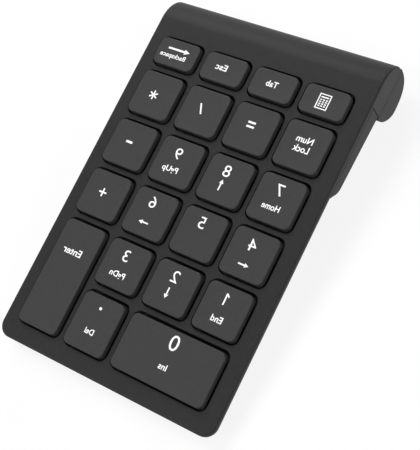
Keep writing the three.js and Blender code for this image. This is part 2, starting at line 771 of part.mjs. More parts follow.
place('top_cover', topCover(), looks.cover);
place('bottom_cover', bottomCover(), looks.cover);
place('battery_door', batteryDoor(), looks.cover);
keys.forEach((key) => place(key.name, keycap(key), looks.cap));
place('key_guide_plate', guidePlate(), looks.inner);
place('rubber_dome_sheet', domeSheet(), looks.silicone);
place('membrane_circuit', membrane(), looks.film);
place('steel_base_plate', steelPlate(), looks.steel);
longKeys.forEach((key) => place(key.name.replace('key', 'stabilizer_bar'), stabilizerBar(key), looks.steel));

place('aa_battery', batteryCell(), looks.cell);
place('battery_spring_contact', springContact(), looks.steel);
place('battery_plate_contact', plateContact(), looks.steel);
place('main_board', block(18.4, 40.5, 50.8, 62.6, BOARD_BOTTOM, BOARD_TOP), looks.board);
place('controller_chip', block(33, 38, 54.5, 59.5, BOARD_TOP + 0.1, BOARD_TOP + 1.0), looks.inner);
place('crystal_can', block(26, 29.2, 56, 58.5, BOARD_TOP + 0.1, BOARD_TOP + 0.9), looks.steel);
place('power_switch_body', switchBody(), looks.steel);
place('power_switch_knob', switchKnob(), looks.inner);

place('foot_front_left', frontFoot(-FOOT_U), looks.rubber);
place('foot_front_right', frontFoot(FOOT_U), looks.rubber);
place('foot_rear_left', rearFoot(-FOOT_U), looks.rubber);
place('foot_rear_right', rearFoot(FOOT_U), looks.rubber);
SCREW_PLACES.forEach(([u, v], i) => place(`case_screw_${i + 1}`, caseScrew(u, v), looks.steel));

const keypad = new THREE.Group();
keypad.add(deck);
keypad.updateMatrixWorld(true);
const bounds = new THREE.Box3().setFromObject(keypad, true);
const centre = bounds.getCenter(new THREE.Vector3());
deck.position.set(-centre.x, -centre.y, -bounds.min.z);
keypad.updateMatrixWorld(true);

export default keypad;
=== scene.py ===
"""Looks of the numeric keypad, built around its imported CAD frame.

Pieces are drawn in the deck frame, in millimetres: u to the right, v to the rear and w out of the
deck, whose top surface is w = 0. DECK carries them into the row frame, in metres.
"""
import json
import math

import bmesh
import bpy
from mathutils import Matrix, Vector


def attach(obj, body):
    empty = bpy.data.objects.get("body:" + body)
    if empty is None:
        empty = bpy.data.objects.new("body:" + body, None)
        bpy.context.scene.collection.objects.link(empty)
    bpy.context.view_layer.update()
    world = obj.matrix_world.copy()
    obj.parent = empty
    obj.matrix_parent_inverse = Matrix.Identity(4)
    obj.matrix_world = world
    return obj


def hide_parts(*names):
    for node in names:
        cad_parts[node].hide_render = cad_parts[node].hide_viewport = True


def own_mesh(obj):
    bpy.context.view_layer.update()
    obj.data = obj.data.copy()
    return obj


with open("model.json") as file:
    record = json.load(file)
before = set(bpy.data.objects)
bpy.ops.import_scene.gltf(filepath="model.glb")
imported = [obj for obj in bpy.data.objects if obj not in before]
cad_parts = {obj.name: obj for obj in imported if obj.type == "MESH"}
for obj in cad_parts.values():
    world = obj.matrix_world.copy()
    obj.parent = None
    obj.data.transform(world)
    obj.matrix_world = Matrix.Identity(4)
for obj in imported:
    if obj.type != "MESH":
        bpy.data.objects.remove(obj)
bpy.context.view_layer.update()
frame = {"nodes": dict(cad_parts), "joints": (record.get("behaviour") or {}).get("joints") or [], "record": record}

MM = 0.001
JOINTS = {joint["name"]: joint for joint in frame["joints"]}
PRESS = Vector(JOINTS["key_5_press"]["axis"])
TILT = math.atan2(PRESS.y, -PRESS.z)
TRAVEL = JOINTS["key_5_press"]["range_m"][1] / MM

# Where the front edge of the case lies along v; this fixes the place of v = 0
CASE_FRONT = -65.25

# Legends: -1 draws them mirrored, as this keypad shows them; +1 draws them readable
LEGEND_SIDE = -1


# ------------------------------------------------------------------ deck frame

def deck_frame():
    """The matrix from the deck frame in millimetres to the row frame in metres."""
    level = Matrix.Rotation(-TILT, 4, "X")
    points = [level @ v.co for v in frame["nodes"]["top_cover"].data.vertices]
    front = min(p.y for p in points)
    surface = max(p.z for p in points)
    place = Matrix.Translation((0, front - CASE_FRONT * MM, surface))
    return Matrix.Rotation(TILT, 4, "X") @ place @ Matrix.Scale(MM, 4)


DECK = deck_frame()
DECK_INVERSE = DECK.inverted()


def deck_box(node):
    """Lowest and highest corner of a CAD node in the deck frame, in millimetres."""
    points = [DECK_INVERSE @ v.co for v in frame["nodes"][node].data.vertices]
    low = Vector(min(p[i] for p in points) for i in range(3))
    high = Vector(max(p[i] for p in points) for i in range(3))
    return low, high


COVER_LOW, COVER_HIGH = deck_box("top_cover")
DOOR_LOW, DOOR_HIGH = deck_box("battery_door")
HALF = COVER_HIGH.x
CASE_REAR = COVER_HIGH.y

# How far a cutting tool reaches past what it cuts
CUT_MARGIN = 1
SIDE_CUT = 2

# Case details
RIM_BOTTOM = -1.9
DECK_THICKNESS = 1.6
RIM_WALL = 1.5
TUBE_WALL = 1.15
FRONT_CORNER_RADIUS = 4.5
EDGE_RADIUS = 0.7
OPENING_GAP = 0.8
OPENING_RADIUS = 2.7
CAP_FORWARD = 0.2
OPENING_EDGE = 0.25
CHEEK_FRONT = 48.6
TUBE_V = 55.9
TUBE_W = -9.3
TUBE_FRONT = 8.15
TUBE_RISE = 9.3
TUBE_DROP = 10.6
REAR_TOP_EXPONENT = 1.92
REAR_LOW_EXPONENT = 2.8
FRONT_TOP_EXPONENT = 1.9
FRONT_LOW_EXPONENT = 1.65
SQUARE_CORNER = 0.01
CORNER_STEPS = 14
PARTING_ANGLE = 0.4
CREST_ANGLE = 90
CREST_STEPS = 26
TUBE_STEPS = 72
PLAN_DEPTH = 5
PAN_REAR = 48
PAN_REAR_RADIUS = 0.2
PAN_CUT_BOTTOM = -4
TUBE_CUT_FRONT = 40
TUBE_CUT_REAR = 70
CASE_EDGE_ANGLE = 50
SMALL_EDGE_RADIUS = 0.12
SEAM_CLEARANCE = 0.05
TOP_FACE_TOLERANCE = 0.01

# The seam between the covers at the fixed end of the tube
SEAM_GAP = 0.01
SEAM_TOLERANCE = 0.02
SEAM_OVERLAP = 3
LOWER_EDGE_RADIUS = 0.3
LOWER_EDGE_ANGLE = 40
LOWER_EDGE_START = 0.5

# Finger grooves of the battery door
GRIP_COUNT = 6
GRIP_END = 13.5
GRIP_PITCH = 1.6
GRIP_DEPTH = 0.35
DOOR_EDGE_RADIUS = 0.2

# Keycap details
CAP_HEIGHT = 1.6
CAP_RADIUS = 2.0
CAP_EDGE = 0.3
CAP_WALL = 1.2
CAP_CEILING = 0.8
HOLLOW_RADIUS = CAP_RADIUS - 1
CAP_DRAFT = 0.1
CAP_DISH = 0.14
DISH_STEP = 1.6
SKIRT_BOTTOM = -0.7
SKIRT_CHAMFER = 0.15
STEM_HALF_WIDTH = 3.5
SHORT_KEY_STEM = 2.2
SHORT_KEY_HALF_DEPTH = 6
STEM_OVERLAP = 0.2
STEM_BOTTOM = -1.8
INK_PROUD = 0.02
INK_DEPTH = 0.08
TOP_RING_SHARES = (0.94, 0.86, 0.76, 0.64, 0.52, 0.4, 0.28, 0.16, 0.06)

SMOOTH_ANGLE = 35
FLAT_ANGLE = 0.3
WELD_DISTANCE = 1e-6


# ------------------------------------------------------------------ meshes

def link_mesh(bm, name):
    """A scene object from a bmesh, which is freed."""
    mesh = bpy.data.meshes.new(name)
    bm.to_mesh(mesh)
    bm.free()
    obj = bpy.data.objects.new(name, mesh)
    bpy.context.scene.collection.objects.link(obj)
    return obj


def bake_modifiers(obj):
    """Replaces an object's mesh with what its modifiers make of it."""
    bpy.context.view_layer.update()
    depsgraph = bpy.context.evaluated_depsgraph_get()
    mesh = bpy.data.meshes.new_from_object(obj.evaluated_get(depsgraph))
    old = obj.data
    obj.modifiers.clear()
    obj.data = mesh
    bpy.data.meshes.remove(old)


def combine(base, tool, operation):
    """Boolean of two closed objects; the tool is used up."""
    modifier = base.modifiers.new("combine", "BOOLEAN")
    modifier.operation = operation
    modifier.solver = "MANIFOLD"
    modifier.object = tool
    bake_modifiers(base)
    bpy.data.objects.remove(tool)


def rounded_outline(u0, u1, v0, v1, front_radius, rear_radius=None, steps=6):
    """Points of a rectangle with rounded corners, counter-clockwise."""
    rear_radius = front_radius if rear_radius is None else rear_radius
    corners = [
        (u1 - front_radius, v0 + front_radius, front_radius, -90),
        (u1 - rear_radius, v1 - rear_radius, rear_radius, 0),
        (u0 + rear_radius, v1 - rear_radius, rear_radius, 90),
        (u0 + front_radius, v0 + front_radius, front_radius, 180),
    ]
    points = []
    for u, v, radius, start in corners:
        for i in range(steps + 1):
            angle = math.radians(start + 90 * i / steps)
            points.append((u + radius * math.cos(angle), v + radius * math.sin(angle)))
    return points


def add_loft(bm, rings):
    """A closed body through rings of one point count, from the lowest to the highest."""
    loops = [[bm.verts.new(point) for point in ring] for ring in rings]
    count = len(loops[0])
    for low, high in zip(loops, loops[1:]):
        for i in range(count):
            j = (i + 1) % count
            bm.faces.new((low[i], low[j], high[j], high[i]))
    bm.faces.new(list(reversed(loops[0])))
    bm.faces.new(loops[-1])


def plan_prism(outline, w0, w1, name="prism"):
    """An outline given in (u, v), drawn up along w."""
    bm = bmesh.new()
    add_loft(bm, [[(u, v, w) for u, v in outline] for w in (w0, w1)])
    return link_mesh(bm, name)


def section_prism(section, u0, u1, name="prism"):
    """A section given in (v, w), drawn out along u."""
    bm = bmesh.new()
    add_loft(bm, [[(u, v, w) for v, w in section] for u in (u0, u1)])
    return link_mesh(bm, name)


def block(u0, u1, v0, v1, w0, w1):
    return plan_prism([(u0, v0), (u1, v0), (u1, v1), (u0, v1)], w0, w1)


def circle(u, v, radius, sides):
    turn = 2 * math.pi / sides
    turns = [turn * i for i in range(sides)]
    return [(u + radius * math.cos(angle), v + radius * math.sin(angle)) for angle in turns]


def tube_arc(inset, start, end, steps):
    """Points of the battery tube's section; 0 degrees is the rear and 90 the crest."""
    points = []
    for i in range(steps + 1):
        angle = math.radians(start + (end - start) * i / steps)
        c, s = math.cos(angle), math.sin(angle)
        rear = c >= 0
        reach = (CASE_REAR - TUBE_V if rear else TUBE_FRONT) - inset
        height = (TUBE_RISE if s >= 0 else TUBE_DROP) - inset
        top = REAR_TOP_EXPONENT if rear else FRONT_TOP_EXPONENT
        low = REAR_LOW_EXPONENT if rear else FRONT_LOW_EXPONENT
        power = 2 / (top if s >= 0 else low)
        v = TUBE_V + math.copysign(reach * abs(c) ** power, c)
        w = TUBE_W + math.copysign(height * abs(s) ** power, s)
        points.append((v, w))
    return points


def sharp_edges(bm, degrees):
    limit = math.radians(degrees)
    return [e for e in bm.edges if e.is_manifold and e.calc_face_angle(0) > limit]


def bevel(obj, width, segments, degrees=45, keep=None):
    """Rounds an object's sharp edges, or only those that keep(midpoint) accepts."""
    bm = bmesh.new()
    bm.from_mesh(obj.data)
    bmesh.ops.dissolve_limit(bm, angle_limit=math.radians(FLAT_ANGLE), verts=bm.verts, edges=bm.edges)
    edges = sharp_edges(bm, degrees)
    if keep:
        edges = [e for e in edges if keep((e.verts[0].co + e.verts[1].co) / 2)]
    bmesh.ops.bevel(
        bm, geom=edges, offset=width, segments=segments, affect="EDGES", profile=0.5,
        clamp_overlap=True,
    )
    bm.to_mesh(obj.data)
    bm.free()


def settle(obj, body, material, replaced=()):
    """Carries a finished piece into the row frame and gives it its body, slot and material."""
    mesh = obj.data
    mesh.transform(DECK)
    mesh.materials.clear()
    mesh.materials.append(material)
    mesh.shade_smooth()
    mesh.set_sharp_from_angle(angle=math.radians(SMOOTH_ANGLE))
    weighted = obj.modifiers.new("flat faces", "WEIGHTED_NORMAL")
    weighted.keep_sharp = True
    if replaced:
        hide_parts(*replaced)
    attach(obj, body)
    return obj


def refined(node, name, width):
    """A copy of a CAD node with its flats merged and its sharp edges rounded."""
    bm = bmesh.new()
    bm.from_mesh(frame["nodes"][node].data)
    bmesh.ops.remove_doubles(bm, verts=bm.verts, dist=WELD_DISTANCE)
    bm.transform(DECK_INVERSE)
    obj = link_mesh(bm, name)
    if width:
        bevel(obj, width, 2, LOWER_EDGE_ANGLE)
    return obj


# ------------------------------------------------------------------ materials

class Nodes:
    """A short way to write a node material."""

    def __init__(self, name):
        self.material = bpy.data.materials.new(name)
        self.material.use_nodes = True
        self.tree = self.material.node_tree
        self.shader = self.tree.nodes["Principled BSDF"]
        self.place = self.tree.nodes.new("ShaderNodeTexCoord").outputs["Object"]

    def add(self, kind, inputs=None, **settings):
        node = self.tree.nodes.new(kind)
        for key, value in settings.items():
            setattr(node, key, value)
        for key, value in (inputs or {}).items():
            if isinstance(value, bpy.types.NodeSocket):
                self.tree.links.new(value, node.inputs[key])
            else:
                node.inputs[key].default_value = value
        return node

    def noise(self, size_mm, detail=2.0, roughness=0.5):
        scale = 1 / (size_mm * MM)
        inputs = {"Vector": self.place, "Scale": scale, "Detail": detail, "Roughness": roughness}
        return self.add("ShaderNodeTexNoise", inputs).outputs["Fac"]

    def blend(self, factor, dark, light):
        ramp = self.add("ShaderNodeValToRGB", {"Fac": factor})
        ramp.color_ramp.elements[0].position = 0.3
        ramp.color_ramp.elements[1].position = 0.7
        ramp.color_ramp.elements[0].color = (*dark, 1)
        ramp.color_ramp.elements[1].color = (*light, 1)
        return ramp.outputs["Color"]

    def span(self, factor, low, high):
        inputs = {"Value": factor, "To Min": low, "To Max": high}
        return self.add("ShaderNodeMapRange", inputs).outputs["Result"]

    def bump(self, height, strength, depth_mm):
        inputs = {"Height": height, "Strength": strength, "Distance": depth_mm * MM}
        return self.add("ShaderNodeBump", inputs).outputs["Normal"]

    def set(self, **values):
        for key, value in values.items():
            socket = self.shader.inputs[key.replace("_", " ")]
            if isinstance(value, bpy.types.NodeSocket):
                self.tree.links.new(value, socket)
            else:
                socket.default_value = value
        return self


# Specular level of the moulded plastics
PLASTIC_SHEEN = 0.17


def grey(level, warmth=0.0):
    return (level * (1 + warmth), level, level * (1 - warmth))


def moulded_plastic(name, level, spread, roughness, grain_mm, grain_depth):
    """Spark-eroded matte plastic: fine grain in the relief, soft mottling in the colour."""
    n = Nodes(name)
    mottle = n.noise(1.6, 3.0)
    grain = n.noise(grain_mm, 4.0, 0.65)
    colour = n.blend(mottle, grey(level * (1 - spread)), grey(level * (1 + spread)))
    fine = n.blend(grain, grey(0.92), grey(1.08))
    mixed = n.add("ShaderNodeMix", data_type="RGBA", blend_type="MULTIPLY")
    mixed.inputs[0].default_value = 1.0
    n.tree.links.new(colour, mixed.inputs[6])
    n.tree.links.new(fine, mixed.inputs[7])
    n.set(
        Base_Color=mixed.outputs[2],
        Roughness=n.span(grain, roughness - 0.06, roughness + 0.06),
        Normal=n.bump(grain, 0.5, grain_depth),
    )
    n.shader.inputs["Specular IOR Level"].default_value = PLASTIC_SHEEN
    return n.material


def simple(name, dark, light, size_mm, roughness, metallic=0.0, bump=0.02):
    """A material that varies softly between two colours, with a faint relief."""
    n = Nodes(name)
    fac = n.noise(size_mm, 3.0)
    n.set(
        Base_Color=n.blend(fac, dark, light),
        Roughness=n.span(fac, roughness - 0.05, roughness + 0.05),
        Metallic=metallic,
        Normal=n.bump(fac, 0.3, bump),
    )
    return n.material


# Where the cell's two colours meet along x, in metres
WRAP_EDGE = 0.0035
WRAP_SPREAD = 0.0002


def cell_wrap():
    """Dark blue wrap with a pale band towards the positive end of the cell."""
    n = Nodes("cell wrap")
    fac = n.noise(6.0, 3.0)
    axis = n.add("ShaderNodeSeparateXYZ", {"Vector": n.place}).outputs["X"]
    inputs = {
        "Value": axis, "From Min": WRAP_EDGE - WRAP_SPREAD, "From Max": WRAP_EDGE + WRAP_SPREAD,
    }
    band = n.add("ShaderNodeMapRange", inputs).outputs["Result"]
    mixed = n.add("ShaderNodeMix", data_type="RGBA")
    n.tree.links.new(band, mixed.inputs[0])
    n.tree.links.new(n.blend(fac, (0.03, 0.06, 0.14), (0.035, 0.07, 0.16)), mixed.inputs[6])
    n.tree.links.new(n.blend(fac, (0.5, 0.5, 0.48), (0.56, 0.56, 0.54)), mixed.inputs[7])
    n.set(
        Base_Color=mixed.outputs[2],
        Roughness=n.span(fac, 0.25, 0.35),
        Metallic=0.2,
        Normal=n.bump(fac, 0.3, 0.003),
    )
    return n.material


MATERIALS = {
    "cover": moulded_plastic("cover plastic", 0.023, 0.07, 0.5, 0.22, 0.03),
    "keycap": moulded_plastic("keycap plastic", 0.042, 0.04, 0.5, 0.16, 0.015),
    "guide": moulded_plastic("guide plastic", 0.02, 0.05, 0.45, 0.4, 0.01),
    "knob": moulded_plastic("knob plastic", 0.012, 0.05, 0.4, 0.3, 0.01),
    "foot": simple("foot rubber", (0.012,) * 3, (0.02,) * 3, 0.5, 0.8, bump=0.03),
    "silicone": simple("dome silicone", (0.62, 0.65, 0.66), (0.7, 0.72, 0.73), 2.0, 0.45),
    "film": simple("membrane film", (0.55, 0.52, 0.4), (0.62, 0.58, 0.46), 3.0, 0.3, bump=0.005),
    "steel": simple("plate steel", (0.5, 0.5, 0.51), (0.6, 0.6, 0.61), 0.8, 0.4, 1.0, 0.005),
    "spring_steel": simple("nickel steel", (0.6, 0.6, 0.58), (0.7, 0.7, 0.68), 0.8, 0.25, 1.0, 0.004),
    "screw": simple("black steel", (0.02,) * 3, (0.04,) * 3, 0.4, 0.4, 0.8, 0.004),
    "board": simple("solder resist", (0.01, 0.09, 0.04), (0.015, 0.12, 0.05), 1.2, 0.35, bump=0.01),
    "chip": simple("chip epoxy", (0.01,) * 3, (0.016,) * 3, 0.3, 0.5, bump=0.005),
    "cell": cell_wrap(),
    "ink": simple("legend ink", (0.88,) * 3, (0.92,) * 3, 0.5, 0.5, bump=0.004),
}

for subpart in frame["record"]["subparts"]:
    cad = frame["nodes"][subpart["node"]]
    for material_slot in cad.material_slots:
        material_slot.material = MATERIALS[subpart["material_slot"]]


# ------------------------------------------------------------------ top cover

KEYS = [name[: -len("_press")] for name in JOINTS if name.endswith("_press")]


def key_footprint(key):
    """Centre and half sizes of a key's top, from its CAD node."""
    low, high = deck_box(key)
    centre = (low + high) / 2
    return centre.x, centre.y, (high.x - low.x) / 2 - CAP_DRAFT, (high.y - low.y) / 2 - CAP_DRAFT


FOOTPRINTS = {key: key_footprint(key) for key in KEYS}


def grown_outline(key, grow, radius, steps=6):
    u, v, a, b = FOOTPRINTS[key]
    a, b = a + grow, b + grow
    return rounded_outline(u - a, u + a, v - b, v + b, radius, steps=steps)


def opening_cutter():
    """One body per key opening, flared at the deck surface so that the cut has a rounded edge."""
    bm = bmesh.new()
    for key in KEYS:
        levels = [(0, -4.0), (0, -OPENING_EDGE)]
        for step in (30, 60, 90):
            angle = math.radians(step)
            levels.append((OPENING_EDGE * (1 - math.cos(angle)), OPENING_EDGE * (math.sin(angle) - 1)))
        levels.append((OPENING_EDGE, 1.0))
        rings = []
        for grow, w in levels:
            outline = grown_outline(key, OPENING_GAP + grow, OPENING_RADIUS + grow)
            rings.append([(u, v + CAP_FORWARD, w) for u, v in outline])
        add_loft(bm, rings)
    return link_mesh(bm, "openings")


def make_top_cover():
    """The deck with its rim, and the upper half of the battery tube."""
    parting = COVER_LOW.z
    plan = rounded_outline(
        -HALF, HALF, CASE_FRONT, CASE_REAR + SIDE_CUT, FRONT_CORNER_RADIUS, SQUARE_CORNER,
        steps=CORNER_STEPS,
    )
    front = CASE_FRONT - CUT_MARGIN
    section = [(front, RIM_BOTTOM), (CHEEK_FRONT, RIM_BOTTOM), (CHEEK_FRONT, parting)]
    section += tube_arc(0, PARTING_ANGLE, CREST_ANGLE, CREST_STEPS)
    section += [(front, 0)]
    cover = section_prism(section, -HALF - CUT_MARGIN, HALF + CUT_MARGIN, "case_top")
    combine(cover, plan_prism(plan, parting - PLAN_DEPTH, CUT_MARGIN), "INTERSECT")

    def above_seam(p):
        return p.z > parting + SEAM_CLEARANCE

    def on_top_edge(p):
        return above_seam(p) and (p.z > -TOP_FACE_TOLERANCE or p.y > TUBE_V)

    bevel(cover, EDGE_RADIUS, 4, CASE_EDGE_ANGLE, on_top_edge)
    bevel(cover, SMALL_EDGE_RADIUS, 2, CASE_EDGE_ANGLE, above_seam)

    pan_side = HALF - RIM_WALL
    pan_plan = rounded_outline(
        -HALF + RIM_WALL, pan_side, CASE_FRONT + RIM_WALL, PAN_REAR,
        FRONT_CORNER_RADIUS - RIM_WALL, PAN_REAR_RADIUS,
    )
    combine(cover, plan_prism(pan_plan, PAN_CUT_BOTTOM, -DECK_THICKNESS), "DIFFERENCE")
    inner_end = HALF - TUBE_WALL
    under_deck = block(
        -inner_end, inner_end, TUBE_CUT_FRONT, TUBE_V, parting - SIDE_CUT, -DECK_THICKNESS
    )
    combine(cover, under_deck, "DIFFERENCE")
    inner_tube = tube_arc(TUBE_WALL, 0, 360, TUBE_STEPS)[:-1]
    combine(cover, section_prism(inner_tube, -inner_end, inner_end), "DIFFERENCE")
    combine(cover, opening_cutter(), "DIFFERENCE")
    settle(cover, "base", MATERIALS["cover"], ["top_cover"])


make_top_cover()


def make_bottom_cover():
    """The bottom cover, raised to meet the top cover where the fixed end of the tube joins it."""
    parting = DOOR_HIGH.z
    cover = refined("bottom_cover", "case_bottom", 0)
    for vert in cover.data.vertices:
        at_parting = abs(vert.co.z - parting) < SEAM_TOLERANCE
        fixed_end = vert.co.y > CHEEK_FRONT and vert.co.x > DOOR_HIGH.x - SEAM_OVERLAP
        if at_parting and fixed_end:
            vert.co.z = COVER_LOW.z - SEAM_GAP

    def away_from_seam(p):
        return p.z < parting - LOWER_EDGE_START or p.y < CHEEK_FRONT

    bevel(cover, LOWER_EDGE_RADIUS, 2, LOWER_EDGE_ANGLE, away_from_seam)
    settle(cover, "base", MATERIALS["cover"], ["bottom_cover"])


make_bottom_cover()


def make_battery_door():
    """The sliding half tube, with finger grooves across its underside near its free end."""
    door = refined("battery_door", "door_panel", DOOR_EDGE_RADIUS)
    for i in range(GRIP_COUNT):
        u = GRIP_END - i * GRIP_PITCH
        groove = block(
            u - GRIP_PITCH / 2, u, TUBE_CUT_FRONT, TUBE_CUT_REAR,
            DOOR_LOW.z - CUT_MARGIN, DOOR_LOW.z + GRIP_DEPTH,
        )
        combine(door, groove, "DIFFERENCE")
    settle(door, "door", MATERIALS["cover"], ["battery_door"])


make_battery_door()


# ------------------------------------------------------------------ keycaps

def dish(key, u, v):
    """Height of a key's shallow dished top."""
    cu, cv, a, b = FOOTPRINTS[key]
    across = 1 - min(1, abs(u - cu) / a) ** 2
    along = 1 - min(1, abs(v - cv) / b) ** 2
    return CAP_HEIGHT - CAP_DISH * across * along


def divided(outline, counts):
    """The outline with each of its long sides divided into the given number of steps."""
    points = []
    side = 0
    for (ua, va), (ub, vb) in zip(outline, outline[1:] + outline[:1]):
        straight = math.hypot(ub - ua, vb - va) > CAP_RADIUS
        count = counts[side] if straight else 1
        side += straight
        for i in range(count):
            points.append((ua + (ub - ua) * i / count, va + (vb - va) * i / count))
    return points


def cap_ring(key, inset, w, radius):
    """The key's outline at height w, drawn in by inset."""
    _, _, a, b = FOOTPRINTS[key]
    along_u, along_v = max(2, round(2 * a / DISH_STEP)), max(2, round(2 * b / DISH_STEP))
    outline = grown_outline(key, -inset, radius, steps=5)
    return [(u, v, w) for u, v in divided(outline, (along_v, along_u, along_v, along_u))]


def make_keycap(key):
    """A hollow cap with a rounded, slightly dished top, and the stem below it."""
    cu, cv, _, b = FOOTPRINTS[key]
    rings = [
        cap_ring(key, -CAP_DRAFT + SKIRT_CHAMFER, SKIRT_BOTTOM, CAP_RADIUS),
        cap_ring(key, -CAP_DRAFT, SKIRT_BOTTOM + SKIRT_CHAMFER, CAP_RADIUS),
        cap_ring(key, 0, CAP_HEIGHT - CAP_EDGE, CAP_RADIUS),
    ]
    for step in (18, 36, 54, 72, 90):
        angle = math.radians(step)
        inset = CAP_EDGE * (1 - math.cos(angle))
        w = CAP_HEIGHT - CAP_EDGE * (1 - math.sin(angle))
        rings.append(cap_ring(key, inset, w, CAP_RADIUS - inset))
    rim = rings[-1]
    for share in TOP_RING_SHARES:
        ring = [(cu + (u - cu) * share, cv + (v - cv) * share) for u, v, _ in rim]
        rings.append([(u, v, dish(key, u, v)) for u, v in ring])
    bm = bmesh.new()
    add_loft(bm, rings)
    cap = link_mesh(bm, key + "_cap")
    hollow = bmesh.new()
    hollow_ends = (SKIRT_BOTTOM - CUT_MARGIN, CAP_CEILING)
    add_loft(hollow, [cap_ring(key, CAP_WALL, w, HOLLOW_RADIUS) for w in hollow_ends])
    combine(cap, link_mesh(hollow, "hollow"), "DIFFERENCE")
    stem_depth = SHORT_KEY_STEM if b < SHORT_KEY_HALF_DEPTH else STEM_HALF_WIDTH
    stem = block(
        cu - STEM_HALF_WIDTH, cu + STEM_HALF_WIDTH, cv - stem_depth, cv + stem_depth,
        STEM_BOTTOM, CAP_CEILING + STEM_OVERLAP,
    )
    combine(cap, stem, "UNION")
    settle(cap, key, MATERIALS["keycap"], [key])


for key in KEYS:
    make_keycap(key)


# ------------------------------------------------------------------ legends

def glyph_mesh(text, weight):
    """Flat-lying solid letters of the built-in font, as bmesh, about 1 unit high."""
    curve = bpy.data.curves.new("letters", "FONT")
    curve.body = text
    curve.resolution_u = 3
    curve.extrude = 0.5
    curve.offset = weight
    letters = bpy.data.objects.new("letters", curve)
    bpy.context.scene.collection.objects.link(letters)
    bpy.context.view_layer.update()
    depsgraph = bpy.context.evaluated_depsgraph_get()
    mesh = bpy.data.meshes.new_from_object(letters.evaluated_get(depsgraph))
    bpy.data.objects.remove(letters)
    bm = bmesh.new()
    bm.from_mesh(mesh)
    bpy.data.meshes.remove(mesh)
    bmesh.ops.remove_doubles(bm, verts=bm.verts, dist=1e-5)
    return bm


def reach(bm, axis):
    """Lowest and highest coordinate of a bmesh along an axis."""
    values = [v.co[axis] for v in bm.verts]
    return min(values), max(values)


CAPITAL = reach(glyph_mesh("H", 0), 1)
DIGIT_HEIGHT = 3.85
DIGIT_WIDTH = 2.65
WORD_WEIGHT = 0.018


def digit_width(text):
    """The width of a digit when an 8 is DIGIT_WIDTH wide."""
    left, right = reach(glyph_mesh(text, 0), 0)
    wide_left, wide_right = reach(glyph_mesh("8", 0), 0)
    return DIGIT_WIDTH * (right - left) / (wide_right - wide_left)


def place_word(key, text, du, dv, width, height, weight=0.0):
    """A word centred at (du, dv) from the key's centre; height is that of its capitals."""
    bm = glyph_mesh(text, weight)
    left, right = reach(bm, 0)
    low, high = CAPITAL
    cu, cv = FOOTPRINTS[key][:2]
    for vert in bm.verts:
        x = LEGEND_SIDE * (vert.co.x - (left + right) / 2) * width / (right - left)
        y = (vert.co.y - (low + high) / 2) * height / (high - low)
        u, v = cu + du + x, cv + dv + y
        top = vert.co.z > 0
        vert.co = (u, v, dish(key, u, v) + (INK_PROUD if top else -INK_DEPTH))
    if LEGEND_SIDE < 0:
        bmesh.ops.reverse_faces(bm, faces=bm.faces)
    return bm


def place_shape(key, outlines, du, dv):
    """Solid marks from counter-clockwise outlines around (du, dv) from the key's centre."""
    cu, cv = FOOTPRINTS[key][:2]
    bm = bmesh.new()
    for outline in outlines:
        points = [(cu + du + LEGEND_SIDE * x, cv + dv + y) for x, y in outline]
        if LEGEND_SIDE < 0:
            points.reverse()
        rings = []
        for proud in (-INK_DEPTH, INK_PROUD):
            rings.append([(u, v, dish(key, u, v) + proud) for u, v in points])
        add_loft(bm, rings)
    return bm


def bar(x0, x1, y0, y1):
    """A rectangle's outline, counter-clockwise."""
    return [(x0, y0), (x1, y0), (x1, y1), (x0, y1)]


def turned(outline, degrees):
    """An outline turned about its origin."""
    c, s = math.cos(math.radians(degrees)), math.sin(math.radians(degrees))
    return [(x * c - y * s, x * s + y * c) for x, y in outline]


def arrow(length, head, head_width, shaft):
    """An arrow pointing along +x, centred on its length."""
    tip = length / 2
    neck = tip - head
    return [
        (-tip, -shaft / 2), (neck, -shaft / 2), (neck, -head_width / 2), (tip, 0),
        (neck, head_width / 2), (neck, shaft / 2), (-tip, shaft / 2),
    ]


SMALL_ARROW = arrow(3.65, 1.4, 1.5, 0.5)
UP_ARROW = turned(arrow(3.8, 1.4, 1.6, 0.5), 90)
DOWN_ARROW = turned(arrow(3.7, 1.4, 1.6, 0.5), -90)


def asterisk():
    """Three crossing bars."""
    return [turned(bar(-0.25, 0.25, -1.65, 1.65), k * 60) for k in range(3)]


def calculator_icon():
    """A frame with a display and three columns of four buttons."""
    a, b, line = 2.1, 2.65, 0.36
    shapes = [
        bar(-a, a, b - line, b), bar(-a, a, -b, -b + line),
        bar(-a, -a + line, -b + line, b - line), bar(a - line, a, -b + line, b - line),
        bar(-1.35, 1.35, 1.3, 1.75),
    ]
    for row in range(4):
        for column in range(3):
            x, y = -1.0 + 1.0 * column, 0.62 - 0.72 * row
            shapes.append(bar(x - 0.33, x + 0.33, y - 0.2, y + 0.2))
    return shapes


def slash():
    """The outline of a leaning stroke."""
    lean = 0.75
    return [(-lean - 0.3, -1.8), (-lean + 0.3, -1.8), (lean + 0.3, 1.8), (lean - 0.3, 1.8)]


def figure_one():
    """The outline of a 1 with a short flag and no foot."""
    h, stroke = DIGIT_HEIGHT / 2, 0.5
    return [
        (0.0, -h), (stroke, -h), (stroke, h), (0.1, h), (-0.75, h - 0.75), (-0.75, h - 1.3),
        (0.0, h - 0.75),
    ]


